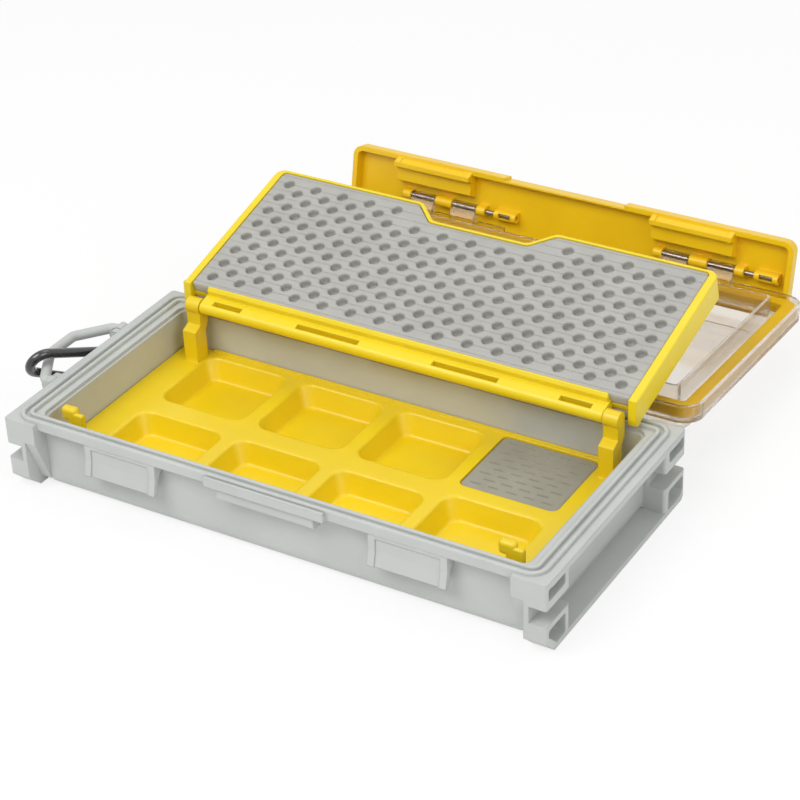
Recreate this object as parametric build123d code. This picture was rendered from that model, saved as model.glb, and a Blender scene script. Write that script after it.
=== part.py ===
from build123d import *
import os
from math import atan2, cos, degrees, hypot, radians, sin

# Fly box: a hinged case in its open position, millimetres.
# X runs along the front, Y from front to back, Z up; the origin is the centre of the base's underside.

# ---- base shell ----
case_length = 220.0
case_depth = 105.8
rim_height = 28.9
tub_end_inset = 8.5
tub_side_inset = 6.3
tub_corner = 6.0
tub_edge_round = 5.5
side_wall = 3.3
front_wall = 2.7
floor_thickness = 3.0
cavity_corner = 3.0
flange_thickness = 2.6
flange_setback = 2.1
flange_corner = 2.5
shelf_thickness = 2.2
ledge_step = 1.1
ledge_drop = 1.3

# ---- sealing ridges on the rim ----
ridge_width = 1.6
ridge_height = 1.5
ridge_pitch = 3.1
ridge_corner = 6.6
ridge_round = 0.6
ridge_to_end = 3.2

# ---- corner blocks ----
block_depth = 16.3
block_width = 13.3
upper_block_height = 10.1
lower_block_height = 12.4
inner_block_height = 8.4
notch_depth = 6.6
web_thickness = 2.0
front_foot_rise = 5.5
front_foot_run = 5.6
rear_foot_rise = 2.2
rear_foot_run = 2.2
pocket_wall = 1.5
pocket_corner = 1.2
block_corner = 1.2
upper_pocket_height = 4.7
upper_pocket_depth = 9.5
lower_pocket_height = 8.0
gusset_bottom = 3.4

# ---- strikes and finger lip on the front wall ----
strike_centre = 58.8
strike_offset = -1.5
strike_width = 30.5
strike_drop = 14.3
strike_reach_bottom = 0.1
strike_lip_thickness = 1.6
strike_rib = 2.8
strike_recess = 0.35
finger_centre = 1.2
finger_width = 48.7
finger_lip_height = 1.1
finger_lip_thickness = 1.2
finger_step_width = 39.6
finger_step_height = 4.8
finger_step_setback = 1.0

# ---- lid ----
hinge_behind_case = 5.1
hinge_above_rim = 0.8
lid_open_angle = 183.9
lid_gap = 0.4
skirt_wall = 1.3
skirt_height = 6.6
skirt_corner = 8.0
lid_wall = 1.5
lid_rise = 13.7
dome_end_inset = 7.7
dome_side_inset = 6.0
dome_corner = 6.0
dome_edge_round = 1.2
rib_end_inset = 4.6
rib_side_inset = 3.6
rib_thickness = 1.2
rib_drop = 4.0
rib_corner = 2.6
window_margin = 9.0
window_recess = 0.6
finger_notch_height = 1.9
gasket_width = 5.2
gasket_gap = 0.3

# ---- lid hinge ----
hinge_spacing = 124.0
hinge_knuckle_radius = 2.6
hinge_pin_radius = 1.2
hinge_pin_length = 36.0
lid_knuckle_length = 15.4
base_knuckle_length = 9.6
knuckle_gap = 0.3
running_clearance = 0.05
seat_clearance = 0.02

# ---- latch bar ----
latch_pin_ahead = 3.3
latch_pin_drop = 2.7
latch_rest_angle = 8.0
latch_end_inset = 10.1
latch_below_pin = 16.5
latch_above_pin = 14.3
latch_front = 4.0
latch_depth = 5.5
latch_skin = 1.5
latch_rim = 2.2
latch_corner = 4.5
latch_edge_round = 1.0
grip_width = 54.0
grip_relief = 1.3
hook_box_width = 35.6
hook_box_height = 9.8
hook_rib = 2.4
hook_panel_depth = 0.9
hook_reach = 1.3
hook_height = 2.0
hook_gap = 0.4
hook_box_gap = 1.4
latch_knuckle_radius = 2.1
latch_pin_radius = 1.0
latch_pin_length = 53.2
lid_latch_knuckle = 11.0
lid_latch_pitch = 19.8
latch_boss_length = 7.8
window_boss_length = 10.0
window_boss_offset = 38.9
window_size = 5.6
latch_set_pitch = 116.0
latch_set_start = -64.9

# ---- well tray ----
tray_gap = 0.3
tray_top = 13.0
tray_skin = 1.9
tray_skirt = 1.6
tray_corner = 2.7
well_floor = 1.8
well_width = 37.2
large_well_width = 39.0
well_pitch = 42.9
well_end_inset = 32.2
well_front_inset = 5.9
well_back = -4.4
large_well_back = -0.4
rear_well_front = 5.0
rear_well_inset = 4.5
large_well_end_inset = 34.8
well_corner = 5.5
well_slope = 3.4
well_floor_round = 1.6
well_edge_round = 1.3
pad_length = 38.8
pad_end_inset = 34.9
pad_front = 6.2
pad_back_inset = 2.3
pad_thickness = 4.0
pad_corner = 3.0
pad_gap = 0.15
pad_notch = 10.0
slit_length = 5.0
slit_width = 0.5
slit_depth = 1.6
slit_rows = 9
slit_columns = 5
slit_pitch_x = 7.05
slit_pitch_y = 3.55
tray_rim_height = 0.8
tray_rim_width = 1.2

# ---- leaf posts and catches on the tray ----
pivot_inset = 5.2
pivot_above_rim = 6.0
post_inset = 12.6
post_width = 6.0
post_radius = 3.1
post_front = 2.1
post_foot_front = 5.8
post_foot_back = 1.0
post_foot_drop = 3.0
post_foot_slope = 1.6
catch_end_inset = 12.2
catch_width = 9.6
catch_head_width = 6.6
catch_stem_width = 5.0
catch_front_inset = 2.1
catch_thickness = 2.0
catch_head_drop = 1.7
catch_head_height = 5.4
catch_head_depth = 3.6
catch_wing_drop = 1.6
catch_round = 0.9
catch_head_round = 1.5

# ---- leaf ----
leaf_tilt = 14.14
leaf_side_gap = 2.3
leaf_start = 5.8
leaf_front_gap = 6.0
leaf_above_pivot = 5.8
leaf_thickness = 11.0
leaf_corner = 4.0
leaf_edge_round = 0.8
leaf_side_wall = 3.2
leaf_rear_wall = 1.5
leaf_front_wall = 1.6
leaf_web = 2.0
leaf_toe = 3.2
leaf_gap = 0.3
barrel_radius = 2.64
journal_radius = 2.0
journal_length = 4.0
barrel_slot_width = 2.3
short_slot = 12.6
long_slot = 27.0
short_slot_centre = 74.4
long_slot_centre = 29.2
notch_width = 41.0
notch_flare = 8.6
notch_depth_leaf = 8.4
notch_round = 4.0
insert_recess = 0.25
insert_gap = 0.15
insert_floor = 1.0
hole_radius = 2.15
hole_pitch_x = 6.2
hole_pitch_y = 8.25
hole_first_row = 5.7
hole_margin = 3.4
slit_groove = 0.35
groove_depth = 1.0

# ---- lanyard bail and carabiner ----
bail_overhang = 2.8
bail_axis_drop = 2.9
bail_rest_angle = 9.0
bail_bar_radius = 2.0
bail_reach = 11.7
bail_knee = 7.2
bail_half_width = 22.2
bail_shoulder = 3.5
bail_shoulder_in = 1.2
bail_bend = 4.0
bail_eye_radius = 2.4
bail_eye_length = 4.4
bail_peg_radius = 1.2
bail_ear_radius = 2.0
bail_ear_length = 2.6
bar_radius = 1.9
carabiner_length = 50.0
carabiner_nose_radius = 5.2
carabiner_heel_radius = 8.6
carabiner_on_leg = 0.62
carabiner_yaw = 74.0
carabiner_pitch = 25.5
carabiner_slack = 2.5
gate_gap = 0.35
gate_radius = 1.6
gate_nose_at = 11.0
gate_hinge_at = 37.0
gate_eye_thickness = 1.6
gate_pin_radius = 0.7
fork_size = 5.0
fork_thickness = 4.4

# ---- values worked out from the sizes above ----
half_length = case_length / 2
half_depth = case_depth / 2
flange_half_depth = half_depth - flange_setback
flange_bottom = rim_height - flange_thickness
tub_length = case_length - 2 * tub_end_inset
tub_depth = case_depth - 2 * tub_side_inset
cavity_length = tub_length - 2 * side_wall
cavity_depth = tub_depth - 2 * front_wall
tub_front = -tub_depth / 2
cavity_half_x = cavity_length / 2
cavity_half_y = cavity_depth / 2
strike_bottom = rim_height - strike_drop
hinge_y = half_depth + hinge_behind_case
hinge_z = rim_height + hinge_above_rim
lid_height = rim_height + lid_rise
dome_length = case_length - 2 * dome_end_inset
dome_depth = case_depth - 2 * dome_side_inset
rib_length = dome_length - 2 * rib_end_inset
rib_depth = dome_depth - 2 * rib_side_inset
latch_pin_y = -half_depth - latch_pin_ahead
latch_pin_z = rim_height - latch_pin_drop
latch_length = case_length - 2 * latch_end_inset
well_front = well_front_inset - cavity_half_y
well_depth = well_back - well_front
large_well_depth = large_well_back - well_front
rear_well_depth = cavity_half_y - rear_well_inset - rear_well_front
pad_back = cavity_half_y - pad_back_inset
pad_width = pad_back - pad_front
pad_centre_y = (pad_back + pad_front) / 2
pivot_y = cavity_half_y - pivot_inset
pivot_z = rim_height + pivot_above_rim
post_inner = cavity_half_x - post_inset
post_foot_top = rim_height - post_foot_drop
catch_inner = cavity_half_x - catch_end_inset
pad_centre_x = cavity_half_x - pad_end_inset
well_first = well_end_inset - cavity_half_x
large_well_centre = cavity_half_x - large_well_end_inset
small_well_span = large_well_centre - large_well_width / 2 - well_first - well_width / 2
well_columns = int(small_well_span // well_pitch) + 1
catch_front = catch_front_inset - cavity_half_y
catch_head_bottom = rim_height - catch_head_drop
catch_head_top = catch_head_bottom + catch_head_height
bail_axis_x = -half_length - bail_overhang
bail_axis_z = rim_height - bail_axis_drop
ridge_top = rim_height + ridge_height
ridge_half_x = half_length - ridge_to_end
ridge_half_y = flange_half_depth
skirt_bottom = rim_height + lid_gap
skirt_half_x = ridge_half_x + knuckle_gap + skirt_wall
skirt_half_y = ridge_half_y + knuckle_gap + skirt_wall
roof_top = skirt_bottom + skirt_height
roof_bottom = roof_top - lid_wall
leaf_length = cavity_length - 2 * leaf_side_gap
leaf_half = leaf_length / 2
leaf_top = leaf_above_pivot
leaf_bottom = leaf_above_pivot - leaf_thickness
leaf_end = pivot_y + cavity_half_y - leaf_front_gap


def block(x0, x1, y0, y1, z0, z1):
    """Box between two opposite corners."""
    return Pos((x0 + x1) / 2, (y0 + y1) / 2, (z0 + z1) / 2) * Box(x1 - x0, y1 - y0, z1 - z0)


def prism_x(points, x0, x1):
    """Outline of (y, z) points carried from x0 to x1."""
    face = Plane.YZ.offset(x0) * Polygon(*points, align=None)
    return extrude(face, amount=x1 - x0, dir=(1, 0, 0))


def prism_y(points, y0, y1):
    """Outline of (x, z) points carried from y0 to y1."""
    face = Plane.XZ.offset(-y0) * Polygon(*points, align=None)
    return extrude(face, amount=y1 - y0, dir=(0, 1, 0))


def rod_x(x0, x1, y, z, radius):
    """Cylinder along X."""
    return Pos((x0 + x1) / 2, y, z) * Rot(0, 90, 0) * Cylinder(radius, x1 - x0)


def rod_y(y0, y1, x, z, radius):
    """Cylinder along Y."""
    return Pos(x, (y0 + y1) / 2, z) * Rot(90, 0, 0) * Cylinder(radius, y1 - y0)


def slab(length, depth, corner, z0, z1):
    """Plate centred on the Z axis with rounded upright corners."""
    return extrude(Pos(0, 0, z0) * RectangleRounded(length, depth, corner), amount=z1 - z0)


def band(half_x, half_y, width, corner, z0, z1):
    """Upright rectangular ring, measured to its outside."""
    outer = slab(2 * half_x, 2 * half_y, corner, z0, z1)
    inner = slab(2 * (half_x - width), 2 * (half_y - width), max(corner - width, 0.4), z0 - 1, z1 + 1)
    return outer - inner


def round_face_edges(solid, z, radius):
    """Rounds every edge that lies wholly at the height z."""
    edges = solid.edges().filter_by_position(Axis.Z, z - 0.01, z + 0.01)
    return fillet(edges, radius)


def one_solid(shape):
    """The single solid that a chain of joins leaves."""
    solids = shape.solids()
    return solids[0] if len(solids) == 1 else Compound(children=list(solids))


# ---- base ----
def corner_block(foot_rise, foot_run):
    """Front right bumper block, with its two open pockets, its wedge to the tub and its sloping foot."""
    inner_x = half_length - block_width
    web_x = half_length - notch_depth
    upper_z = rim_height - upper_block_height
    outline = [
        (inner_x, rim_height),
        (half_length, rim_height),
        (half_length, upper_z),
        (web_x, upper_z),
        (web_x, lower_block_height),
        (half_length, lower_block_height),
        (half_length, 0),
        (web_x - web_thickness, 0),
        (web_x - web_thickness, rim_height - inner_block_height),
        (inner_x, rim_height - inner_block_height),
    ]
    solid = prism_y(outline, -half_depth, -half_depth + block_depth)
    gusset_top = rim_height - inner_block_height + 0.5
    gusset = [
        (-half_depth, gusset_top),
        (tub_front + front_wall / 2, gusset_top),
        (tub_front + front_wall / 2, gusset_bottom),
        (tub_front, gusset_bottom),
    ]
    solid += prism_x(gusset, inner_x, web_x)
    solid += block(inner_x, web_x, tub_front, -half_depth + block_depth, gusset_bottom, gusset_top)
    foot = [(-half_depth - 1, -1), (-half_depth - 1, foot_rise + 1), (-half_depth + foot_run + 1, -1)]
    solid -= prism_x(foot, inner_x - 1, half_length + 1)
    outer_edges = solid.edges().filter_by(Axis.Z).group_by(Axis.X)[-1]
    solid = fillet(outer_edges, block_corner)
    pocket_front = -half_depth + pocket_wall
    pocket_back = -half_depth + block_depth - 2 * pocket_wall
    upper_pocket_z = rim_height - flange_thickness + 0.4
    upper_pocket = block(
        half_length - upper_pocket_depth, half_length + 1, pocket_front, pocket_back,
        upper_pocket_z - upper_pocket_height, upper_pocket_z,
    )
    solid -= fillet(upper_pocket.edges().filter_by(Axis.X), pocket_corner)
    lower_pocket = [
        (pocket_front, foot_rise + shelf_thickness),
        (pocket_front, shelf_thickness + lower_pocket_height),
        (pocket_back, shelf_thickness + lower_pocket_height),
        (pocket_back, shelf_thickness),
        (pocket_front + foot_run, shelf_thickness),
    ]
    lower_cut = prism_x(lower_pocket, web_x + pocket_wall / 2, half_length + 1)
    return solid - fillet(lower_cut.edges().filter_by(Axis.X), pocket_corner)


def strike():
    """Overhanging catch plate under the front lip, centred on x = 0."""
    top = flange_bottom
    front_top = -flange_half_depth - 0.35
    front_bottom = -half_depth + strike_reach_bottom
    middle_z = (top + strike_bottom) / 2
    middle = front_top - strike_recess / 2
    front = [(front_top, top), (middle, middle_z), (front_bottom, strike_bottom)]
    back = [
        (front_bottom + strike_lip_thickness, strike_bottom),
        (middle + strike_lip_thickness, middle_z - 1),
        (tub_front + 0.5, top - 3 * strike_lip_thickness / 2),
        (tub_front + 0.5, top),
    ]
    half = strike_width / 2
    solid = prism_x(front + back, -half, half)
    relief = [(y + strike_recess, z) for y, z in front]
    relief = [(relief[0][0], top - 1.0)] + relief[1:-1] + [(relief[-1][0], strike_bottom - 1.0)]
    outside = [(front_bottom - 2, strike_bottom - 1.0), (front_bottom - 2, top - 1.0)]
    return solid - prism_x(relief + outside, -half + strike_rib, half - strike_rib)


def finger_lip():
    """Ledge at the middle of the front rim for a fingertip."""
    x0 = finger_centre - finger_width / 2
    x1 = finger_centre + finger_width / 2
    solid = block(x0, x1, -half_depth, -flange_half_depth + 1, flange_bottom, rim_height)
    solid += block(
        x0, x1, -half_depth, -half_depth + finger_lip_thickness, rim_height, rim_height + finger_lip_height
    )
    upright = solid.edges().filter_by(Axis.Z).group_by(Axis.Y)[0]
    solid = fillet(upright, finger_lip_thickness / 2)
    step_front = -half_depth + finger_step_setback
    step = block(
        finger_centre - finger_step_width / 2, finger_centre + finger_step_width / 2,
        step_front, tub_front + 0.5, flange_bottom - finger_step_height, flange_bottom,
    )
    lower = step.edges().filter_by(Axis.X).group_by(Axis.Z)[0].group_by(Axis.Y)[0]
    return solid + fillet(lower, 1.2)


def hinge_spans(centre):
    """X spans of the lid knuckle and of the base knuckles either side of it."""
    half = lid_knuckle_length / 2
    near = half + knuckle_gap
    far = near + base_knuckle_length
    return (centre - half, centre + half), [(centre - far, centre - near), (centre + near, centre + far)]


def base_knuckles():
    """Hinge knuckles behind the rear flange."""
    solid = None
    for centre in (-hinge_spacing / 2, hinge_spacing / 2):
        for x0, x1 in hinge_spans(centre)[1]:
            arm = block(x0, x1, flange_half_depth - 1, hinge_y, flange_bottom, rim_height)
            piece = arm + rod_x(x0, x1, hinge_y, hinge_z, hinge_knuckle_radius)
            piece -= rod_x(x0 - 1, x1 + 1, hinge_y, hinge_z, hinge_pin_radius + seat_clearance)
            solid = piece if solid is None else solid + piece
    return solid


def bail_ears():
    """Two ears on the left flange that hold the lanyard bail."""
    solid = None
    outer = bail_half_width - bail_eye_length / 2 - knuckle_gap
    for side in (-1, 1):
        y0, y1 = sorted((side * outer, side * (outer - bail_ear_length)))
        ear = rod_y(y0, y1, bail_axis_x, bail_axis_z, bail_ear_radius)
        ear += block(
            bail_axis_x, -half_length + flange_thickness, y0, y1,
            bail_axis_z - bail_ear_radius, bail_axis_z + bail_ear_radius,
        )
        ear -= rod_y(y0 - 1, y1 + 1, bail_axis_x, bail_axis_z, bail_peg_radius + running_clearance)
        solid = ear if solid is None else solid + ear
    return solid


def make_base_shell():
    tub = slab(tub_length, tub_depth, tub_corner, 0, rim_height - flange_thickness / 2)
    tub = round_face_edges(tub, 0, tub_edge_round)
    shell = tub + slab(case_length, 2 * flange_half_depth, flange_corner, flange_bottom, rim_height)
    shell += block(
        -half_length, half_length, -half_depth + block_depth - 1, half_depth - block_depth + 1,
        0, shelf_thickness,
    )
    front_corner = corner_block(front_foot_rise, front_foot_run)
    rear_corner = mirror(corner_block(rear_foot_rise, rear_foot_run), Plane.XZ)
    for corner in (front_corner, rear_corner):
        shell += corner
        shell += mirror(corner, Plane.YZ)
    for side in (-1, 1):
        shell += Pos(side * strike_centre + strike_offset, 0, 0) * strike()
    shell += finger_lip()
    shell += base_knuckles()
    shell += bail_ears()
    shell -= slab(cavity_length, cavity_depth, cavity_corner, floor_thickness, rim_height + 1)
    shell -= slab(
        cavity_length + 2 * ledge_step, cavity_depth + 2 * ledge_step, cavity_corner + ledge_step,
        rim_height - ledge_drop, rim_height + 1,
    )
    for step in (0, ridge_pitch):
        ridge = band(
            ridge_half_x - step, ridge_half_y - step, ridge_width, ridge_corner - step,
            rim_height - 0.2, ridge_top,
        )
        shell += round_face_edges(ridge, ridge_top, ridge_round)
    return shell


def make_hinge_pin(centre):
    half = hinge_pin_length / 2
    return rod_x(centre - half, centre + half, hinge_y, hinge_z, hinge_pin_radius)


# ---- well tray and slit pad ----
def well_centres():
    """Centre, width and depth of each well: the front row, the rear row and the large one."""
    columns = [well_first + i * well_pitch for i in range(well_columns)]
    front = [(x, well_front + well_depth / 2, well_width, well_depth) for x in columns]
    rear = [(x, rear_well_front + rear_well_depth / 2, well_width, rear_well_depth) for x in columns]
    large = (large_well_centre, well_front + large_well_depth / 2, large_well_width, large_well_depth)
    return front + rear + [large]


def well_body(x, y, width, depth, grow, z0, z1):
    """Dish with sloping sides, round corners and a round-edged floor, swollen by grow."""
    top = Pos(x, y, z1) * RectangleRounded(
        width + 2 * grow, depth + 2 * grow, well_corner + grow)
    foot = Pos(x, y, z0) * RectangleRounded(
        width - 2 * well_slope + 2 * grow, depth - 2 * well_slope + 2 * grow,
        well_corner - well_slope / 2 + grow)
    return round_face_edges(loft([foot, top]), z0, well_floor_round)


def leaf_post():
    """Right hinge post of the leaf, standing on the tray."""
    x0 = post_inner
    x1 = post_inner + post_width
    front = pivot_y - post_front
    foot_front = pivot_y - post_foot_front
    back = pivot_y + post_radius
    foot_back = pivot_y + post_foot_back
    outline = [
        (foot_back, tray_top - tray_skin),
        (foot_back, post_foot_top - post_foot_slope),
        (back, post_foot_top + post_foot_slope),
        (back, pivot_z),
        (front, pivot_z),
        (front, post_foot_top + post_foot_slope),
        (foot_front, post_foot_top),
        (foot_front, tray_top + 1),
        (foot_front - 0.7, tray_top - tray_skin),
    ]
    post = prism_x(outline, x0, x1)
    post += rod_x(x0, x1, pivot_y, pivot_z, post_radius)
    bore = rod_x(
        x0 - 1, x0 + journal_length, pivot_y, pivot_z, journal_radius + running_clearance)
    return post - bore


def leaf_catch():
    """Right front finger that stops the closed leaf from lifting."""
    x0 = catch_inner
    x1 = catch_inner + catch_width
    y1 = catch_front + catch_thickness
    stem = block(x1 - catch_stem_width, x1, catch_front, y1, tray_top - tray_skin, catch_head_bottom)
    nose = catch_front + catch_head_depth
    head = block(x0, x0 + catch_head_width, catch_front, nose, catch_head_bottom, catch_head_top)
    head = fillet(head.edges(), catch_head_round)
    wing = block(
        x0 + catch_head_width / 2, x1, catch_front, y1,
        catch_head_bottom - catch_round, catch_head_top - catch_wing_drop,
    )
    wing = fillet(wing.edges().group_by(Axis.Z)[-1], catch_round)
    return stem + head + wing


def make_well_tray():
    length = cavity_length - 2 * tray_gap
    depth = cavity_depth - 2 * tray_gap
    under = tray_top - tray_skin
    tray = slab(length, depth, tray_corner, floor_thickness, tray_top)
    tray -= slab(length - 2 * tray_skirt, depth - 2 * tray_skirt, tray_corner, floor_thickness - 1, under)
    wells = well_centres()
    for x, y, width, deep in wells:
        tray += well_body(x, y, width, deep, tray_skin, floor_thickness, under + 0.5)
    pocket_length = pad_length + 2 * pad_gap
    pocket_width = pad_width + 2 * pad_gap
    pad_bottom = tray_top - pad_thickness
    seat = extrude(
        Pos(pad_centre_x, pad_centre_y, pad_bottom - tray_skin)
        * RectangleRounded(pocket_length + 2 * tray_skin, pocket_width + 2 * tray_skin, pad_corner),
        amount=pad_thickness,
    )
    tray += seat
    rim_y = depth / 2
    tray += block(
        -post_inner + 1, post_inner - 1, rim_y - tray_rim_width, rim_y, under, tray_top + tray_rim_height)
    for x, y, width, deep in wells:
        tray -= well_body(x, y, width, deep, 0, floor_thickness + well_floor, tray_top)
    tray -= extrude(
        Pos(pad_centre_x, pad_centre_y, pad_bottom)
        * RectangleRounded(pocket_length, pocket_width, pad_corner),
        amount=pad_thickness + 1,
    )
    mouths = tray.edges().filter_by_position(Axis.Z, tray_top - 0.01, tray_top + 0.01)
    inner = tray_skirt + 2
    mouths = mouths.filter_by(
        lambda e: abs(e.center().X) < length / 2 - inner
        and abs(e.center().Y) < depth / 2 - inner
        and not (
            abs(e.center().X - pad_centre_x) < pocket_length / 2 + 0.5
            and abs(e.center().Y - pad_centre_y) < pocket_width / 2 + 0.5
        )
    )
    tray = fillet(mouths, well_edge_round)
    tray += leaf_post()
    tray += mirror(leaf_post(), Plane.YZ)
    tray += leaf_catch()
    tray += Pos(-2 * catch_inner - catch_head_width, 0, 0) * leaf_catch()
    return tray


def make_slit_pad():
    bottom = tray_top - pad_thickness
    pad = extrude(
        Pos(pad_centre_x, pad_centre_y, bottom) * RectangleRounded(pad_length, pad_width, pad_corner),
        amount=pad_thickness,
    )
    notch = Pos(pad_centre_x, pad_centre_y + pad_width / 2, tray_top - pad_thickness / 2)
    pad -= notch * Box(pad_notch, 1.6, pad_thickness + 1)
    for row in range(slit_rows):
        y = pad_centre_y + (row - (slit_rows - 1) / 2) * slit_pitch_y
        columns = slit_columns - row % 2
        for column in range(columns):
            x = pad_centre_x + (column - (columns - 1) / 2) * slit_pitch_x
            pad -= Pos(x, y, tray_top) * Box(slit_length, slit_width, 2 * slit_depth)
    return pad


# ---- leaf, drawn with its pivot on the X axis, then tilted into place ----
def leaf_outline(inset, rear_inset):
    """Plan outline of the leaf, with the finger notch in its rear edge."""
    half = leaf_half - inset
    rear = leaf_end - rear_inset
    depth = notch_depth_leaf
    grow = rear_inset * 0.55
    inner = notch_width / 2 + grow
    outer = inner + notch_flare
    points = [
        (-half, leaf_start), (half, leaf_start), (half, rear), (outer, rear),
        (inner, rear - depth), (-inner, rear - depth), (-outer, rear), (-half, rear),
    ]
    return points


def leaf_plate(inset, rear_inset, corner, z0, z1):
    """Plate of the leaf's plan outline, with its rear corners and notch rounded."""
    face = make_face(Polyline(*leaf_outline(inset, rear_inset), close=True))
    rear_corners = face.vertices().group_by(Axis.Y)[-1].sort_by(Axis.X)
    face = fillet([rear_corners[0], rear_corners[-1]], corner)
    bends = [v for v in face.vertices() if abs(v.X) < notch_width and v.Y > leaf_start + 1]
    face = fillet(bends, notch_round)
    return extrude(Pos(0, 0, z0) * face, amount=z1 - z0, dir=(0, 0, 1))


def place_leaf(shape):
    """Carries a leaf piece from its own frame to its open position."""
    return Pos(0, pivot_y, pivot_z) * Rot(leaf_tilt, 0, 0) * shape


def make_leaf_frame():
    frame = leaf_plate(0, 0, leaf_corner, leaf_bottom, leaf_top)
    for z in (leaf_bottom, leaf_top):
        rims = frame.edges().filter_by_position(Axis.Z, z - 0.01, z + 0.01)
        rims = rims.filter_by(lambda e: e.center().Y > leaf_start + 0.5)
        frame = fillet(rims, leaf_edge_round)
    web_middle = (leaf_top + leaf_bottom) / 2
    web_top = web_middle + leaf_web / 2
    web_bottom = web_middle - leaf_web / 2
    for z0, z1 in ((web_top, leaf_top + 1), (leaf_bottom - 1, web_bottom)):
        frame -= leaf_plate(leaf_side_wall, leaf_rear_wall, leaf_corner / 2, z0, z1)
    barrel_end = post_inner - leaf_gap
    wall_front = leaf_start - leaf_front_wall
    wall = [
        (wall_front, leaf_bottom + 0.6),
        (wall_front + 0.6, leaf_bottom),
        (leaf_start, leaf_bottom),
        (leaf_start, leaf_top),
        (leaf_start - 0.5, leaf_top),
        (wall_front, leaf_top - 1.2),
    ]
    wall_half = post_inner - 3 * leaf_gap
    frame += prism_x(wall, -wall_half, wall_half)
    frame += rod_x(-barrel_end, barrel_end, 0, 0, barrel_radius)
    frame += block(-barrel_end, barrel_end, 0, leaf_start, -barrel_radius, barrel_radius)
    toe = [
        (leaf_start + 0.1, leaf_bottom),
        (leaf_start + 0.1, leaf_top),
        (leaf_start - leaf_toe / 3, leaf_top),
        (leaf_start - leaf_toe, leaf_bottom + leaf_toe),
        (leaf_start - leaf_toe, leaf_bottom + 1),
        (leaf_start - leaf_toe + 1, leaf_bottom),
    ]
    for x0 in (-leaf_half, leaf_half - leaf_side_wall):
        frame += prism_x(toe, x0, x0 + leaf_side_wall)
    journal_end = post_inner + journal_length - leaf_gap
    frame += rod_x(-journal_end, journal_end, 0, 0, journal_radius)
    slots = ((short_slot_centre - 0.5, short_slot), (long_slot_centre, long_slot))
    for side in (-1, 1):
        for centre, length in slots:
            frame -= block(
                side * centre - length / 2, side * centre + length / 2,
                -barrel_slot_width / 2 + 0.6, barrel_slot_width / 2 + 0.6,
                -barrel_radius - 1, barrel_radius + 1,
            )
    return place_leaf(frame)


def hole_places():
    """Centres of the staggered fly holes, column by column."""
    count = round((leaf_length - 2 * leaf_side_wall - 4 * hole_margin) / hole_pitch_x / 2)
    places = []
    for column in range(-count, count + 1):
        x = column * hole_pitch_x
        first = leaf_start + hole_first_row + (0 if (count - column) % 2 == 0 else hole_pitch_y / 2)
        row = 0
        while True:
            y = first + row * hole_pitch_y
            rear = leaf_end - leaf_rear_wall
            if abs(x) < notch_width / 2 + notch_flare + hole_radius:
                rear -= notch_depth_leaf
            if y > rear - hole_radius - 1.2:
                break
            places.append((x, y))
            row += 1
    return places


def leaf_insert():
    """Upper fly insert: a soft sheet with blind holes and slits along their rows."""
    web_top = (leaf_top + leaf_bottom + leaf_web) / 2
    top = leaf_top - insert_recess
    inset = leaf_side_wall + insert_gap
    sheet = leaf_plate(inset, leaf_rear_wall + insert_gap, leaf_corner / 2, web_top, web_top + insert_floor)
    upper = leaf_plate(
        inset, leaf_rear_wall + insert_gap, leaf_corner / 2, web_top + insert_floor, top)
    places = hole_places()
    holes = Sketch() + [Pos(x, y) * Circle(hole_radius) for x, y in places]
    upper -= extrude(Pos(0, 0, web_top + insert_floor - 0.5) * holes, amount=leaf_thickness)
    rows = sorted({round(y, 3) for x, y in places})
    grooves = []
    half_groove = slit_groove / 2
    for y in rows:
        row = sorted(x for x, place_y in places if abs(place_y - y) < 0.01)
        for x0, x1 in zip(row, row[1:]):
            if x1 - x0 < 2.5 * hole_pitch_x:
                grooves.append(block(x0, x1, y - half_groove, y + half_groove, top - groove_depth, top + 1))
    upper -= grooves
    return sheet + upper


def make_leaf_inserts():
    upper = leaf_insert()
    middle = (leaf_top + leaf_bottom) / 2
    lower = mirror(upper, Plane.XY.offset(middle))
    return place_leaf(upper), place_leaf(lower)


# ---- lid and latch, drawn closed, then swung open about the hinge ----
def open_lid(shape):
    """Swings a closed piece about the lid hinge to the open position."""
    axis = Axis((0, hinge_y, hinge_z), (1, 0, 0))
    return shape.rotate(axis, -lid_open_angle)


def latch_sets():
    """X positions of the first knuckle of each latch hinge."""
    return (latch_set_start, latch_set_start + latch_set_pitch)


def lid_hinge_arms():
    """Knuckles behind the lid's rear skirt."""
    solid = None
    outline = [
        (skirt_half_y - 0.3, skirt_bottom + 1.2),
        (skirt_half_y - 0.3, roof_top - 0.5),
        (skirt_half_y + 1.6, roof_top - 0.5),
        (hinge_y + 2.1, hinge_z + 1.5),
        (hinge_y, hinge_z - 1.5),
    ]
    for centre in (-hinge_spacing / 2, hinge_spacing / 2):
        x0, x1 = hinge_spans(centre)[0]
        arm = prism_x(outline, x0, x1) + rod_x(x0, x1, hinge_y, hinge_z, hinge_knuckle_radius)
        arm -= rod_x(x0 - 1, x1 + 1, hinge_y, hinge_z, hinge_pin_radius + running_clearance)
        solid = arm if solid is None else solid + arm
    return solid


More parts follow.
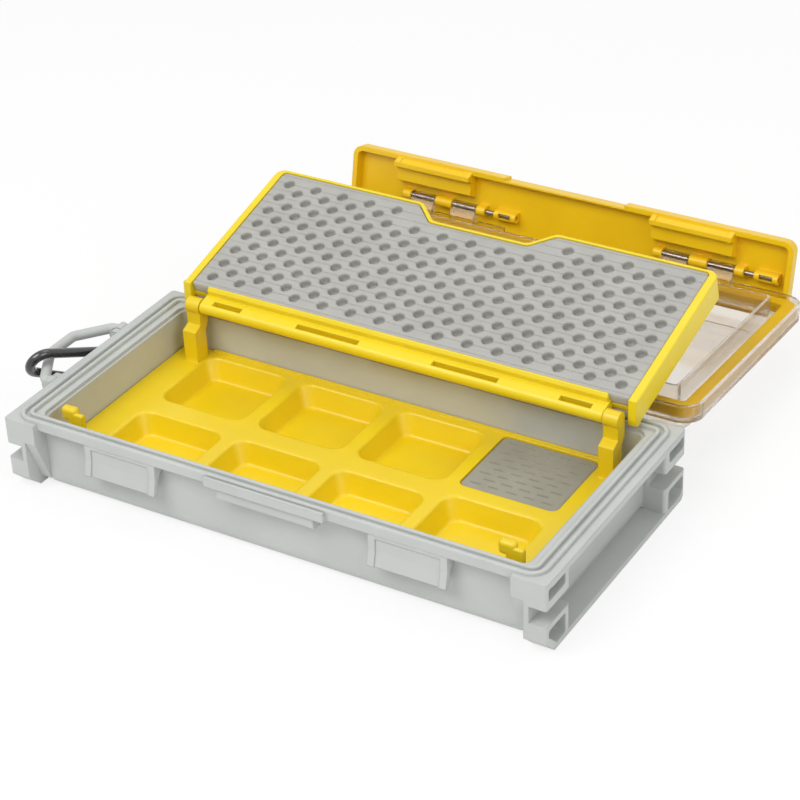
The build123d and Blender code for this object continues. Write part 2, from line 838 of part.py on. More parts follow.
def lid_latch_arms():
    """Knuckles in front of the lid's skirt that carry the latch pins."""
    solid = None
    front = -skirt_half_y
    outline = [
        (front + 0.3, skirt_bottom + 0.1),
        (front + 0.3, skirt_bottom + 3.7),
        (latch_pin_y - 1.6, latch_pin_z + 1.3),
        (latch_pin_y + 0.6, latch_pin_z - 1.9),
    ]
    for first in latch_sets():
        for step in (0, lid_latch_pitch):
            x0 = first + step - lid_latch_knuckle / 2
            x1 = x0 + lid_latch_knuckle
            arm = prism_x(outline, x0, x1)
            arm += rod_x(x0, x1, latch_pin_y, latch_pin_z, latch_knuckle_radius)
            bore = latch_pin_radius + running_clearance
            arm -= rod_x(x0 - 1, x1 + 1, latch_pin_y, latch_pin_z, bore)
            solid = arm if solid is None else solid + arm
    return solid


def make_lid_shell():
    shell = band(skirt_half_x, skirt_half_y, skirt_wall, skirt_corner, skirt_bottom, roof_top)
    roof = slab(2 * skirt_half_x, 2 * skirt_half_y, skirt_corner, roof_bottom, roof_top)
    roof = round_face_edges(roof, roof_top, dome_edge_round)
    shell += roof
    dome = slab(dome_length, dome_depth, dome_corner, roof_bottom, lid_height)
    dome = round_face_edges(dome, lid_height, dome_edge_round)
    shell += dome
    shell += band(rib_length / 2, rib_depth / 2, rib_thickness, rib_corner,
                  skirt_bottom + gasket_gap + ridge_height - lid_gap - rib_drop, roof_top)
    shell -= slab(
        dome_length - 2 * lid_wall, dome_depth - 2 * lid_wall, dome_corner - lid_wall,
        roof_top - 0.01, lid_height - lid_wall,
    )
    shell -= slab(
        rib_length - 2 * rib_thickness, rib_depth - 2 * rib_thickness, rib_corner - rib_thickness,
        roof_bottom - 1, roof_top + 1,
    )
    shell -= slab(
        dome_length - 2 * window_margin, dome_depth - 2 * window_margin, dome_corner,
        lid_height - lid_wall - 1, lid_height - lid_wall + window_recess,
    )
    shell += lid_hinge_arms()
    shell += lid_latch_arms()
    notch_half = finger_width / 2 + 3 * lid_gap
    shell -= block(
        finger_centre - notch_half, finger_centre + notch_half,
        -skirt_half_y - 1, -skirt_half_y + skirt_wall,
        skirt_bottom - 1, skirt_bottom + finger_notch_height,
    )
    return shell


def make_lid_gasket():
    half_x = ridge_half_x - knuckle_gap / 2
    half_y = ridge_half_y - knuckle_gap / 2
    return band(half_x, half_y, gasket_width, ridge_corner, ridge_top + gasket_gap, roof_bottom)


def hook_box():
    """Raised box on the latch's inner face, centred on x = 0: hook for a strike and ribbed lead-in ramp."""
    skin = latch_pin_y - latch_front + latch_skin - 0.3
    face = -half_depth - hook_box_gap
    hook_top = strike_bottom - hook_gap
    hook_bottom = hook_top - hook_height
    box_top = hook_top + hook_box_height - hook_height
    tip = -half_depth + strike_reach_bottom + hook_reach
    clear = -half_depth + strike_reach_bottom - hook_gap
    bar_edge = latch_pin_z - latch_below_pin + latch_edge_round
    rim_face = latch_pin_y - latch_front + latch_depth
    outline = [
        (skin, bar_edge),
        (rim_face, bar_edge),
        (tip, hook_bottom),
        (tip, hook_top),
        (clear, hook_top),
        (face, hook_top + 1.2),
        (face, box_top - 1.5),
        (skin, box_top),
    ]
    half = hook_box_width / 2
    box = prism_x(outline, -half, half)
    ramp_panel = [
        (rim_face - hook_panel_depth, bar_edge),
        (tip - hook_panel_depth, hook_bottom),
        (tip + 1, hook_bottom),
        (tip + 1, bar_edge),
    ]
    inner = half - hook_rib
    return box - prism_x(ramp_panel, -inner, inner)


def latch_bosses(first):
    """Latch knuckles round one pin: beside and between the lid's knuckles, and the window boss."""
    clear = lid_latch_knuckle / 2 + knuckle_gap
    second = first + lid_latch_pitch
    between = (first + second) / 2
    side = latch_boss_length / 2
    window = first + window_boss_offset
    spans = [
        (first - clear - side, first - clear),
        (between - side, between + side),
        (second + clear, second + clear + side),
        (window - window_boss_length / 2, window + window_boss_length / 2),
    ]
    skin = latch_pin_y - latch_front + latch_skin / 2
    solid = None
    for x0, x1 in spans:
        boss = rod_x(x0, x1, latch_pin_y, latch_pin_z, latch_knuckle_radius)
        boss += block(
            x0, x1, skin, latch_pin_y,
            latch_pin_z - latch_knuckle_radius, latch_pin_z + latch_knuckle_radius,
        )
        boss -= rod_x(x0 - 1, x1 + 1, latch_pin_y, latch_pin_z, latch_pin_radius + seat_clearance)
        solid = boss if solid is None else solid + boss
    solid -= block(
        window - window_size / 2, window + window_size / 2,
        latch_pin_y, latch_pin_y + 2 * latch_knuckle_radius,
        latch_pin_z - latch_pin_radius, latch_pin_z + latch_pin_radius,
    )
    return solid


def swing_latch(shape):
    """Turns the locked latch outward to its rest angle, then opens it with the lid."""
    axis = Axis((0, latch_pin_y, latch_pin_z), (1, 0, 0))
    return open_lid(shape.rotate(axis, -latch_rest_angle))


def make_latch_bar():
    front = latch_pin_y - latch_front
    z0 = latch_pin_z - latch_below_pin
    z1 = latch_pin_z + latch_above_pin
    height = z1 - z0
    middle = (z0 + z1) / 2
    face = Plane.XZ.offset(-front) * Pos(0, middle) * RectangleRounded(latch_length, height, latch_corner)
    plate = extrude(face, amount=latch_depth, dir=(0, 1, 0))
    skin_edges = plate.edges().group_by(Axis.Y)[0]
    plate = fillet(skin_edges, latch_edge_round)
    hollow = Plane.XZ.offset(-(front + latch_skin)) * Pos(0, middle) * RectangleRounded(
        latch_length - 2 * latch_rim, height - 2 * latch_rim, latch_corner - latch_rim)
    plate -= extrude(hollow, amount=latch_depth, dir=(0, 1, 0))
    plate -= block(
        -grip_width / 2, grip_width / 2, front - 1, front + latch_depth + 1, z0 - 1, z0 + grip_relief)
    for side in (-1, 1):
        plate += Pos(side * strike_centre + strike_offset, 0, 0) * hook_box()
    for first in latch_sets():
        plate += latch_bosses(first)
    return swing_latch(plate)


def make_latch_pin(first):
    x0 = first - lid_latch_knuckle / 2 - knuckle_gap - latch_boss_length / 2
    return swing_latch(rod_x(x0, x0 + latch_pin_length, latch_pin_y, latch_pin_z, latch_pin_radius))


# ---- lanyard bail and carabiner ----
def make_lanyard_bail():
    """Trapezoid loop with an eye and a peg at each end, drawn flat and tilted up."""
    shoulder_y = bail_half_width - bail_shoulder_in
    near = [(0, bail_half_width), (-bail_shoulder, shoulder_y), (-bail_reach, bail_knee)]
    far = [(x, -y) for x, y in reversed(near)]
    path = FilletPolyline(*near, *far, radius=bail_bend)
    start = Plane(origin=path @ 0, z_dir=path % 0)
    bail = sweep(start * Circle(bail_bar_radius), path=path)
    for side in (-1, 1):
        outer = side * (bail_half_width + bail_eye_length / 2)
        inner = side * (bail_half_width - bail_eye_length / 2)
        tip = side * (bail_half_width - bail_eye_length / 2 - knuckle_gap - bail_ear_length - 0.4)
        bail += rod_y(*sorted((outer, inner)), 0, 0, bail_eye_radius)
        bail += rod_y(*sorted((outer, tip)), 0, 0, bail_peg_radius)
        past_end = sorted((outer, outer + side * bail_eye_length))
        bail -= rod_y(*past_end, 0, 0, 2 * bail_eye_radius)
        ear_room = sorted((inner, tip))
        ring = rod_y(*ear_room, 0, 0, bail_ear_radius + knuckle_gap)
        ring -= rod_y(*ear_room, 0, 0, bail_peg_radius)
        bail -= ring
    return Pos(bail_axis_x, 0, bail_axis_z) * Rot(0, bail_rest_angle, 0) * bail


def leg_point(share):
    """Point on the bail's front leg, as a share of the way from its shoulder to its knee."""
    shoulder_y = bail_half_width - bail_shoulder_in
    y = -shoulder_y + share * (shoulder_y - bail_knee)
    out = bail_shoulder + share * (bail_reach - bail_shoulder)
    tilt = radians(bail_rest_angle)
    return (bail_axis_x - out * cos(tilt), y, bail_axis_z + out * sin(tilt))


def carabiner_frame():
    """Plane of the carabiner: its X runs from nose to heel, its Y from gate to spine."""
    yaw = radians(carabiner_yaw)
    pitch = radians(carabiner_pitch)
    along = Vector(cos(yaw) * cos(pitch), sin(yaw) * cos(pitch), -sin(pitch))
    leg = Vector(*leg_point(1)) - Vector(*leg_point(0))
    across = along.cross(leg).normalized()
    centre = Vector(*leg_point(carabiner_on_leg)) - along * carabiner_slack
    return Plane(origin=centre, x_dir=along, z_dir=along.cross(across))


def carabiner_sides():
    """Tangent points of the straight sides: (nose point, heel point) of the spine side."""
    centres = carabiner_length - carabiner_nose_radius - carabiner_heel_radius
    spread = (carabiner_heel_radius - carabiner_nose_radius) / centres
    tilt = (1 - spread * spread) ** 0.5
    nose = (-spread * carabiner_nose_radius, tilt * carabiner_nose_radius)
    heel = (centres - spread * carabiner_heel_radius, tilt * carabiner_heel_radius)
    return nose, heel, centres


def gate_side_point(distance):
    """Point of the gate side's centre line, a distance along X from the nose centre."""
    nose, heel, _ = carabiner_sides()
    share = (distance - nose[0]) / (heel[0] - nose[0])
    return (distance, -(nose[1] + share * (heel[1] - nose[1])))


def make_carabiner_hook():
    nose, heel, centres = carabiner_sides()
    nose_end = gate_side_point(gate_nose_at - carabiner_nose_radius)
    hinge = gate_side_point(gate_hinge_at - carabiner_nose_radius)
    path = Line(nose_end, (nose[0], -nose[1]))
    path += ThreePointArc((nose[0], -nose[1]), (-carabiner_nose_radius, 0), nose)
    path += Line(nose, heel)
    path += ThreePointArc(heel, (centres + carabiner_heel_radius, 0), (heel[0], -heel[1]))
    path += Line((heel[0], -heel[1]), hinge)
    path = Wire(path.edges())
    start = Plane(origin=path @ 0, z_dir=path % 0)
    hook = sweep(start * Circle(bar_radius), path=path)
    fork = Pos(hinge[0], hinge[1], 0) * Box(fork_size, fork_size, fork_thickness)
    slot = fork_size + gate_gap
    hook += fork
    hook -= Pos(hinge[0] - fork_size / 2, hinge[1], 0) * Box(
        2 * fork_size, slot, gate_eye_thickness + 2 * gate_gap)
    hook -= Pos(hinge[0], hinge[1], 0) * Cylinder(gate_pin_radius + running_clearance, 2 * fork_thickness)
    return hook


def make_carabiner_gate():
    nose_end = gate_side_point(gate_nose_at - carabiner_nose_radius)
    hinge = gate_side_point(gate_hinge_at - carabiner_nose_radius)
    angle = degrees(atan2(nose_end[1] - hinge[1], nose_end[0] - hinge[0]))
    reach = hypot(nose_end[0] - hinge[0], nose_end[1] - hinge[1])
    start = fork_size / 2 + gate_gap + gate_radius
    bar_length = reach - gate_gap - start
    gate = Pos(start + bar_length / 2, 0, 0) * Rot(0, 90, 0) * Cylinder(gate_radius, bar_length)
    tongue = Pos(start / 2 + 0.4, 0, 0) * Box(start + 0.8, 2 * gate_radius, gate_eye_thickness)
    gate += tongue
    gate += Cylinder(gate_radius, gate_eye_thickness)
    gate -= Cylinder(gate_pin_radius + running_clearance, fork_thickness)
    return Pos(hinge[0], hinge[1], 0) * Rot(0, 0, angle) * gate


def make_gate_pin():
    hinge = gate_side_point(gate_hinge_at - carabiner_nose_radius)
    return Pos(hinge[0], hinge[1], 0) * Cylinder(gate_pin_radius, fork_thickness + 0.4)


def place_carabiner(shape):
    return carabiner_frame().location * shape


def build():
    """Every sub-part by its node name."""
    insert_upper, insert_lower = make_leaf_inserts()
    left, right = latch_sets()
    return {
        "base_shell": make_base_shell(),
        "well_tray": make_well_tray(),
        "slit_pad": make_slit_pad(),
        "hinge_pin_left": make_hinge_pin(-hinge_spacing / 2),
        "hinge_pin_right": make_hinge_pin(hinge_spacing / 2),
        "lid_shell": open_lid(make_lid_shell()),
        "lid_gasket": open_lid(make_lid_gasket()),
        "latch_bar": make_latch_bar(),
        "latch_pin_left": make_latch_pin(left),
        "latch_pin_right": make_latch_pin(right),
        "leaf_frame": make_leaf_frame(),
        "leaf_insert_upper": insert_upper,
        "leaf_insert_lower": insert_lower,
        "lanyard_bail": make_lanyard_bail(),
        "carabiner_hook": place_carabiner(make_carabiner_hook()),
        "carabiner_gate": place_carabiner(make_carabiner_gate()),
        "gate_pin": place_carabiner(make_gate_pin()),
    }


os.makedirs("parts", exist_ok=True)
for name, shape in build().items():
    solid = one_solid(shape)
    solid.label = name
    export_step(solid, f"parts/{name}.step")
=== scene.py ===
import bmesh
import bpy
import math
from mathutils import Matrix, Vector


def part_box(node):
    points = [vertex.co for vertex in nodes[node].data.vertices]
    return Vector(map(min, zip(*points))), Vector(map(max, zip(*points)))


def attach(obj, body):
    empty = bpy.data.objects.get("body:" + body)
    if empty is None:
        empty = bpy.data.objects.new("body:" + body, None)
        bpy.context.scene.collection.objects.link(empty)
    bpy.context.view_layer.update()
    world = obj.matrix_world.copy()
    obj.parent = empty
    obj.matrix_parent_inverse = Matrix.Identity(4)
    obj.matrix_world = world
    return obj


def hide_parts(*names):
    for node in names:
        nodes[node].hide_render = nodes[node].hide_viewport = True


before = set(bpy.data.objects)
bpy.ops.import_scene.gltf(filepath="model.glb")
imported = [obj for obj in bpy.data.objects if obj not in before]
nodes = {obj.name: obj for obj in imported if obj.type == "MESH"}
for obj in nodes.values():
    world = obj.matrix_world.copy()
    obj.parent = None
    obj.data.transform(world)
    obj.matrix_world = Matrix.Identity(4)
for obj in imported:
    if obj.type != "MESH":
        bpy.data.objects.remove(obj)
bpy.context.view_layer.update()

# ---- sizes of the foam pieces, in metres and radians ----
leaf_tilt = math.radians(14.14)
pivot = Vector((0, 0.0387, 0.0349))
leaf_start = 0.0058
first_row = 0.0057
row_pitch = 0.00825
slit_rows = 9
slit_columns = 5
slit_pitch_x = 0.00705
slit_pitch_y = 0.00355
slit_length = 0.005
slit_opening = 0.0006
slit_depth = 0.0016
pad_corner = 0.003
pad_notch = 0.01
pad_notch_depth = 0.0008
pad_step_x = 0.0004
pad_step_y = 0.00015
pad_inset = 0.0003
pad_crown = 0.0002
pad_edge_round = 0.0012
pad_edge_fall = 0.0006
merge_distance = 0.00003
slit_lift = 0.0002
slit_taper = 6
rear_lip = 0.00045
front_lip = 0.00008
lip_width = 0.0004
cut_width = 0.00022
foam_voxel = 0.00055

# ---- floor and camera, in metres and degrees ----
floor_half = 6.0
floor_gap = 0.0002
floor_white_share = 0.8
camera_place = (0.39305, -0.59399, 0.47901)
camera_azimuth = 31.76
camera_elevation = 31.8
camera_roll = -2.39
camera_lens = 106.65
camera_sensor = 36.0


# ---- materials ----
class Graph:
    """Short helper for building a node material."""

    def __init__(self, name):
        self.material = bpy.data.materials.new(name)
        self.material.use_nodes = True
        self.tree = self.material.node_tree
        self.shader = self.tree.nodes["Principled BSDF"]
        self.coords = self.add("ShaderNodeTexCoord").outputs["Object"]

    def add(self, kind, **settings):
        node = self.tree.nodes.new(kind)
        for key, value in settings.items():
            setattr(node, key, value)
        return node

    def link(self, source, target):
        self.tree.links.new(source, target)

    def noise(self, scale, detail=3.0, rough=0.5, stretch=None):
        node = self.add("ShaderNodeTexNoise")
        node.inputs["Scale"].default_value = scale
        node.inputs["Detail"].default_value = detail
        node.inputs["Roughness"].default_value = rough
        coords = self.coords
        if stretch:
            mapping = self.add("ShaderNodeMapping")
            mapping.inputs["Scale"].default_value = stretch
            self.link(coords, mapping.inputs["Vector"])
            coords = mapping.outputs["Vector"]
        self.link(coords, node.inputs["Vector"])
        return node.outputs["Fac"]

    def ramp(self, value, low, high, start=0.3, end=0.7):
        node = self.add("ShaderNodeValToRGB")
        node.color_ramp.elements[0].position = start
        node.color_ramp.elements[1].position = end
        node.color_ramp.elements[0].color = (*low, 1)
        node.color_ramp.elements[1].color = (*high, 1)
        self.link(value, node.inputs["Fac"])
        return node.outputs["Color"]

    def spread(self, value, low, high, start=0.3, end=0.7):
        node = self.add("ShaderNodeMapRange")
        node.inputs["From Min"].default_value = start
        node.inputs["From Max"].default_value = end
        node.inputs["To Min"].default_value = low
        node.inputs["To Max"].default_value = high
        self.link(value, node.inputs["Value"])
        return node.outputs["Result"]

    def bump(self, height, distance, strength=1.0, after=None):
        node = self.add("ShaderNodeBump")
        node.inputs["Distance"].default_value = distance
        node.inputs["Strength"].default_value = strength
        self.link(height, node.inputs["Height"])
        if after:
            self.link(after, node.inputs["Normal"])
        return node.outputs["Normal"]

    def soft_edges(self, radius):
        """Normal that rounds the mesh's sharp edges by a radius."""
        node = self.add("ShaderNodeBevel", samples=6)
        node.inputs["Radius"].default_value = radius
        return node.outputs["Normal"]

    def set(self, **values):
        for key, value in values.items():
            self.shader.inputs[key.replace("_", " ")].default_value = value

    def feed(self, **values):
        for key, value in values.items():
            self.link(value, self.shader.inputs[key.replace("_", " ")])


def linear(r, g, b):
    """Linear colour of an sRGB one given in 0 to 255."""
    def channel(v):
        v /= 255
        return v / 12.92 if v <= 0.04045 else ((v + 0.055) / 1.055) ** 2.4
    return tuple(channel(v) for v in (r, g, b))


def moulded(name, low, high, rough_low, rough_high, grain, grain_depth, edge):
    """Injection-moulded plastic: faint cloudiness, fine grain, uneven gloss and rounded edges."""
    g = Graph(name)
    clouds = g.noise(38, 4, 0.55)
    g.feed(Base_Color=g.ramp(clouds, linear(*low), linear(*high), 0.35, 0.65))
    g.feed(Roughness=g.spread(g.noise(160, 3), rough_low, rough_high))
    waves = g.bump(g.noise(60, 2), 0.00008, 0.25, g.soft_edges(edge))
    g.feed(Normal=g.bump(g.noise(grain, 2), grain_depth, 0.5, waves))
    return g


def grey_plastic():
    low, high = (186, 189, 186), (192, 195, 191)
    g = moulded("base_grey", low, high, 0.42, 0.56, 2600, 0.00012, 0.0007)
    g.set(Specular_IOR_Level=0.45)
    return g.material


def yellow_plastic(name, low, high):
    g = moulded(name, low, high, 0.28, 0.4, 1500, 0.00003, 0.0006)
    g.set(Specular_IOR_Level=0.5)
    return g.material


def foam(name, low, high, rows=None):
    """Closed-cell foam; rows = (direction, first, pitch) draws fine cuts that join the holes."""
    g = Graph(name)
    cells = g.add("ShaderNodeTexVoronoi")
    cells.inputs["Scale"].default_value = 2100
    g.link(g.coords, cells.inputs["Vector"])
    clouds = g.noise(55, 4, 0.6)
    g.feed(Base_Color=g.ramp(clouds, linear(*low), linear(*high), 0.3, 0.7))
    g.set(Roughness=0.92, Specular_IOR_Level=0.25)
    g.set(Sheen_Weight=0.12, Sheen_Roughness=0.5)
    soft = g.bump(g.noise(420, 3, 0.6), 0.0003, 0.35)
    if rows:
        direction, first, pitch = rows
        along = g.add("ShaderNodeVectorMath", operation="DOT_PRODUCT")
        along.inputs[1].default_value = direction
        g.link(g.coords, along.inputs[0])
        shifted = g.add("ShaderNodeMath", operation="SUBTRACT")
        shifted.inputs[1].default_value = first
        g.link(along.outputs["Value"], shifted.inputs[0])
        saw = g.add("ShaderNodeMath", operation="PINGPONG")
        saw.inputs[1].default_value = pitch / 2
        g.link(shifted.outputs[0], saw.inputs[0])
        cut = g.spread(saw.outputs[0], 0.0, 1.0, 0.0, cut_width)
        soft = g.bump(cut, 0.0004, 0.7, soft)
    g.feed(Normal=g.bump(cells.outputs["Distance"], 0.00018, 0.6, soft))
    return g.material


def clear_lid():
    g = Graph("lid_clear")
    # The warm tan base colour is painted shade: it darkens what is seen through the clear lid to
    # look like the shadowed floor under it.
    g.set(Base_Color=(0.85, 0.79, 0.71, 1), IOR=1.45, Alpha=0.82)
    g.set(Transmission_Weight=1.0)
    haze = g.noise(90, 3, 0.5)
    g.feed(Roughness=g.spread(haze, 0.015, 0.06))
    g.feed(Normal=g.bump(g.noise(26, 2), 0.0006, 0.12))
    return g.material


def gasket():
    g = Graph("gasket_soft")
    g.feed(Base_Color=g.ramp(g.noise(70, 3), linear(236, 190, 20), linear(242, 198, 28)))
    g.set(Specular_IOR_Level=0.4, Transmission_Weight=0.25, IOR=1.41)
    g.feed(Roughness=g.spread(g.noise(300), 0.35, 0.5))
    g.feed(Normal=g.bump(g.noise(900, 2), 0.00005, 0.5))
    return g.material


def steel():
    g = Graph("pin_steel")
    streaks = g.noise(900, 3, 0.5, (0.02, 1, 1))
    g.feed(Base_Color=g.ramp(streaks, linear(118, 112, 104), linear(156, 150, 141)))
    g.set(Metallic=1.0)
    g.feed(Roughness=g.spread(streaks, 0.22, 0.38))
    return g.material


def black_enamel():
    g = Graph("carabiner_black")
    g.feed(Base_Color=g.ramp(g.noise(300, 3), linear(9, 9, 10), linear(16, 16, 17)))
    g.set(Specular_IOR_Level=0.6, Coat_Weight=0.7, Coat_Roughness=0.08)
    g.feed(Roughness=g.spread(g.noise(400), 0.2, 0.3))
    g.feed(Normal=g.bump(g.noise(1800, 2), 0.00004, 0.4))
    return g.material


grey = grey_plastic()
tray_yellow = yellow_plastic("tray_yellow", (228, 197, 16), (234, 203, 20))
leaf_yellow = yellow_plastic("leaf_yellow", (234, 208, 24), (239, 213, 30))
latch_yellow = yellow_plastic("latch_yellow", (240, 196, 10), (245, 202, 14))
pin_metal = steel()
black = black_enamel()
pad_foam = foam("pad_foam", (149, 146, 132), (159, 156, 142))
cut_direction = (0, math.cos(leaf_tilt), math.sin(leaf_tilt))
first_cut = pivot.dot(Vector(cut_direction)) + leaf_start + first_row
insert_cuts = (cut_direction, first_cut, row_pitch / 2)
insert_foam = foam("insert_foam", (172, 171, 166), (181, 180, 174), insert_cuts)
finish_of = {
    "base_shell": grey,
    "well_tray": tray_yellow,
    "slit_pad": pad_foam,
    "hinge_pin_left": pin_metal,
    "hinge_pin_right": pin_metal,
    "lid_shell": clear_lid(),
    "lid_gasket": gasket(),
    "latch_bar": latch_yellow,
    "latch_pin_left": pin_metal,
    "latch_pin_right": pin_metal,
    "leaf_frame": leaf_yellow,
    "leaf_insert_upper": insert_foam,
    "leaf_insert_lower": insert_foam,
    "lanyard_bail": grey,
    "carabiner_hook": black,
    "carabiner_gate": black,
    "gate_pin": pin_metal,
}
for name, material in finish_of.items():
    slots = nodes[name].data.materials
    slots.clear()
    slots.append(material)


# ---- foam pieces ----
def slit_height(x, y):
    """Rise of the pad's face at a point from its centre: an open cut and the lips beside it."""
    row = min(max(round(y / slit_pitch_y + (slit_rows - 1) / 2), 0), slit_rows - 1)
    columns = slit_columns - row % 2
    column = min(max(round(x / slit_pitch_x + (columns - 1) / 2), 0), columns - 1)
    across = abs(x - (column - (columns - 1) / 2) * slit_pitch_x)
    behind = y - (row - (slit_rows - 1) / 2) * slit_pitch_y + slit_opening / 2
    open_share = max(0.0, 1 - (2 * across / slit_length) ** slit_taper)
    width = slit_opening * open_share
    if 0 <= behind <= width and open_share > 0:
        return -slit_depth * open_share * (1 - behind / width) + slit_lift * open_share
    gap = behind - width if behind > width else -behind
    lip = rear_lip if behind > width else front_lip
    return lip * open_share * math.exp(-(gap / lip_width) ** 2)


def pad_edge(x, y, half_x, half_y):
    """Moves a grid point that lies past the pad's outline onto it."""
    if abs(x) < pad_notch / 2:
        y = min(y, half_y - pad_notch_depth)
    inner_x, inner_y = half_x - pad_corner, half_y - pad_corner
    if abs(x) > inner_x and abs(y) > inner_y:
        dx, dy = abs(x) - inner_x, abs(y) - inner_y
        reach = math.hypot(dx, dy)
        if reach > pad_corner:
            dx, dy = dx * pad_corner / reach, dy * pad_corner / reach
            x, y = math.copysign(inner_x + dx, x), math.copysign(inner_y + dy, y)
    return x, y


def edge_drop(x, y, half_x, half_y):
    """How far the pad's face falls near its rounded rim."""
    inset = min(half_x - abs(x), half_y - abs(y))
    corner_x, corner_y = abs(x) - half_x + pad_corner, abs(y) - half_y + pad_corner
    if corner_x > 0 and corner_y > 0:
        inset = pad_corner - math.hypot(corner_x, corner_y)
    share = min(max(inset / pad_edge_round, 0.0), 1.0)
    return pad_edge_fall * (1 - math.sqrt(1 - (1 - share) ** 2))


def finish_piece(name, build, material, body, node):
    """Turns a bmesh into a foam piece that stands for a node of the part."""
    mesh = bpy.data.meshes.new(name)
    build.to_mesh(mesh)
    build.free()
    for polygon in mesh.polygons:
        polygon.use_smooth = True
    mesh.materials.append(material)
    piece = bpy.data.objects.new(name, mesh)
    bpy.context.scene.collection.objects.link(piece)
    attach(piece, body)
    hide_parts(node)


def make_pad():
    """Slit foam pad: a fine grid with the cuts sculpted in, and straight sides below it."""
    low, high = (Vector(c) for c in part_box("slit_pad"))
    centre = (low + high) / 2
    half_x, half_y = (high.x - low.x) / 2, (high.y - low.y) / 2
    count_x = round(2 * half_x / pad_step_x)
    count_y = round(2 * half_y / pad_step_y)
    build = bmesh.new()
    grid = []
    for i in range(count_x + 1):
        line = []
        for j in range(count_y + 1):
            x = half_x * (2 * i / count_x - 1)
            y = half_y * (2 * j / count_y - 1)
            x, y = pad_edge(x, y, half_x, half_y)
            crown = pad_crown * (1 - (x / half_x) ** 2) * (1 - (y / half_y) ** 2)
            z = high.z - pad_inset + crown + slit_height(x, y) - edge_drop(x, y, half_x, half_y)
            line.append(build.verts.new((centre.x + x, centre.y + y, z)))
        grid.append(line)
    for i in range(count_x):
        for j in range(count_y):
            square = (grid[i][j], grid[i + 1][j], grid[i + 1][j + 1], grid[i][j + 1])
            build.faces.new(square)
    bmesh.ops.remove_doubles(build, verts=build.verts, dist=merge_distance)
    rim = [e for e in build.edges if e.is_boundary]
    sides = bmesh.ops.extrude_edge_only(build, edges=rim)["geom"]
    for v in sides:
        if isinstance(v, bmesh.types.BMVert):
            v.co.z = low.z
    bmesh.ops.holes_fill(build, edges=[e for e in build.edges if e.is_boundary])
    bmesh.ops.recalc_face_normals(build, faces=build.faces)
    finish_piece("foam_pad", build, pad_foam, "base", "slit_pad")


def make_insert(name, node):
    """Die-cut foam sheet: the node's shape with softly rounded rims and hole edges."""
    source = nodes[node]
    rough = source.copy()
    rough.data = source.data.copy()
    bpy.context.scene.collection.objects.link(rough)
    remesh = rough.modifiers.new("cells", "REMESH")
    remesh.mode = "VOXEL"
    remesh.voxel_size = foam_voxel
    smooth = rough.modifiers.new("soft", "SMOOTH")
    smooth.factor = 0.5
    smooth.iterations = 2
    shaped = rough.evaluated_get(bpy.context.evaluated_depsgraph_get()).to_mesh()
    build = bmesh.new()
    build.from_mesh(shaped)
    build.transform(rough.matrix_world)
    bpy.data.objects.remove(rough)
    finish_piece(name, build, insert_foam, "leaf", node)


make_pad()
make_insert("foam_sheet_upper", "leaf_insert_upper")
make_insert("foam_sheet_lower", "leaf_insert_lower")


# ---- floor, light and camera ----
def background_rays(tree):
    """Socket that is 1 for the rays that see the white background instead of lit surfaces."""
    path = tree.nodes.new("ShaderNodeLightPath")
    chosen = path.outputs["Is Camera Ray"]
    for ray in ("Is Glossy Ray", "Is Transmission Ray"):
        either = tree.nodes.new("ShaderNodeMath")
        either.operation = "MAXIMUM"
        tree.links.new(chosen, either.inputs[0])
        tree.links.new(path.outputs[ray], either.inputs[1])
        chosen = either.outputs[0]
    return chosen


def floor_material():
    """Matt white that is mostly seen as plain white, so that the object's shadow stays soft."""
    g = Graph("floor_white")
    g.feed(Base_Color=g.ramp(g.noise(3, 2), (0.93, 0.93, 0.93), (0.95, 0.95, 0.95)))
    g.set(Roughness=0.9, Specular_IOR_Level=0.1)
    share = g.add("ShaderNodeMath", operation="MULTIPLY")
    share.inputs[1].default_value = floor_white_share
    g.link(background_rays(g.tree), share.inputs[0])
    white = g.add("ShaderNodeEmission")
    white.inputs["Color"].default_value = (1, 1, 1, 1)
    white.inputs["Strength"].default_value = 1.0
    mix = g.add("ShaderNodeMixShader")
    g.link(share.outputs[0], mix.inputs[0])
    g.link(g.shader.outputs[0], mix.inputs[1])
    g.link(white.outputs[0], mix.inputs[2])
    g.link(mix.outputs[0], g.tree.nodes["Material Output"].inputs["Surface"])
    return g.material


def make_floor():
    mesh = bpy.data.meshes.new("floor")
    signs = ((-1, -1), (1, -1), (1, 1), (-1, 1))
    corners = [(x * floor_half, y * floor_half, -floor_gap) for x, y in signs]
    mesh.from_pydata(corners, [], [(0, 1, 2, 3)])
    floor = bpy.data.objects.new("floor", mesh)
    bpy.context.scene.collection.objects.link(floor)
    mesh.materials.append(floor_material())


def make_lamp(name, place, target, size, power):
    light = bpy.data.lights.new(name, "AREA")
    light.shape = "RECTANGLE"
    light.size, light.size_y = size
    light.energy = power
    lamp = bpy.data.objects.new(name, light)
    bpy.context.scene.collection.objects.link(lamp)
    lamp.location = place
    lamp.rotation_euler = (Vector(target) - Vector(place)).to_track_quat("-Z", "Y").to_euler()


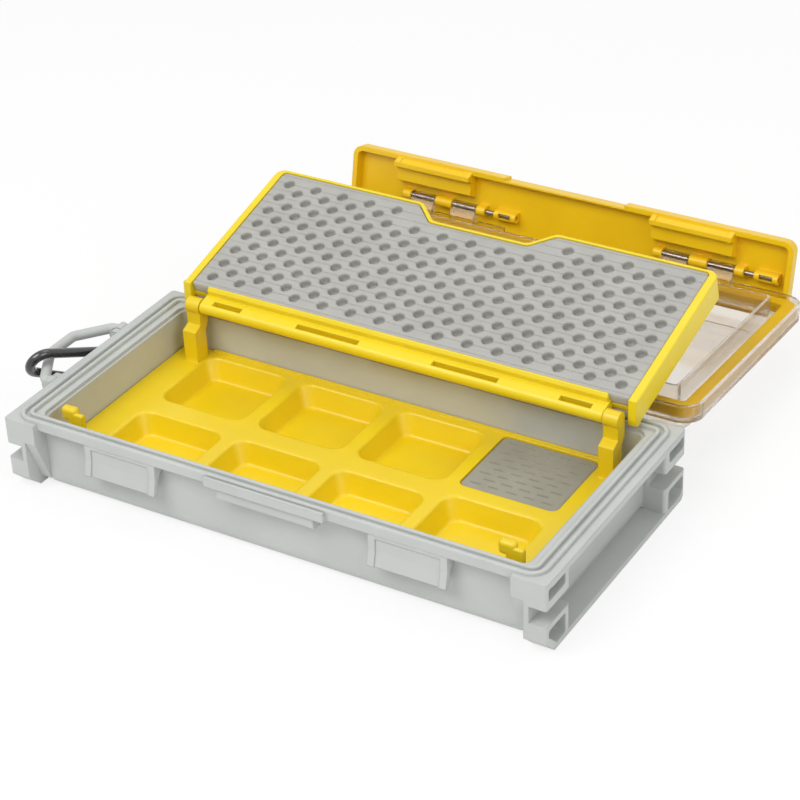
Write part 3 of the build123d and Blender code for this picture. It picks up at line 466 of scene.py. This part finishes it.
def make_world():
    world = bpy.data.worlds.new("studio")
    bpy.context.scene.world = world
    world.use_nodes = True
    tree = world.node_tree
    tree.nodes.clear()
    fill = tree.nodes.new("ShaderNodeBackground")
    fill.inputs["Color"].default_value = (1, 1, 1, 1)
    fill.inputs["Strength"].default_value = 0.42
    white = tree.nodes.new("ShaderNodeBackground")
    white.inputs["Color"].default_value = (1, 1, 1, 1)
    white.inputs["Strength"].default_value = 1.0
    mix = tree.nodes.new("ShaderNodeMixShader")
    out = tree.nodes.new("ShaderNodeOutputWorld")
    tree.links.new(background_rays(tree), mix.inputs[0])
    tree.links.new(fill.outputs[0], mix.inputs[1])
    tree.links.new(white.outputs[0], mix.inputs[2])
    tree.links.new(mix.outputs[0], out.inputs["Surface"])


def make_camera():
    """Three-quarter camera from the front right, with a slight roll."""
    camera_data = bpy.data.cameras.new("camera")
    camera_data.lens = camera_lens
    camera_data.sensor_width = camera_sensor
    camera = bpy.data.objects.new("camera", camera_data)
    bpy.context.scene.collection.objects.link(camera)
    azimuth = math.radians(camera_azimuth)
    elevation = math.radians(camera_elevation)
    roll = math.radians(camera_roll)
    level = math.cos(elevation)
    back = Vector((math.sin(azimuth) * level, -math.cos(azimuth) * level, math.sin(elevation)))
    right = (-back).cross(Vector((0, 0, 1))).normalized()
    up = right.cross(-back)
    tilted_right = right * math.cos(roll) + up * math.sin(roll)
    tilted_up = up * math.cos(roll) - right * math.sin(roll)
    turn = Matrix((tilted_right, tilted_up, back)).transposed().to_4x4()
    camera.matrix_world = Matrix.Translation(camera_place) @ turn
    bpy.context.scene.camera = camera


make_floor()
make_lamp("key", (-0.35, -0.75, 1.1), (0, 0.03, 0.02), (0.9, 0.7), 10.3)
make_lamp("fill", (0.95, -0.35, 0.75), (0, 0.03, 0.02), (0.7, 0.7), 4.0)
make_lamp("top", (0.05, 0.5, 1.2), (0, 0.05, 0.02), (1.0, 0.8), 3.5)
make_world()
make_camera()
bpy.context.scene.view_settings.view_transform = "Standard"
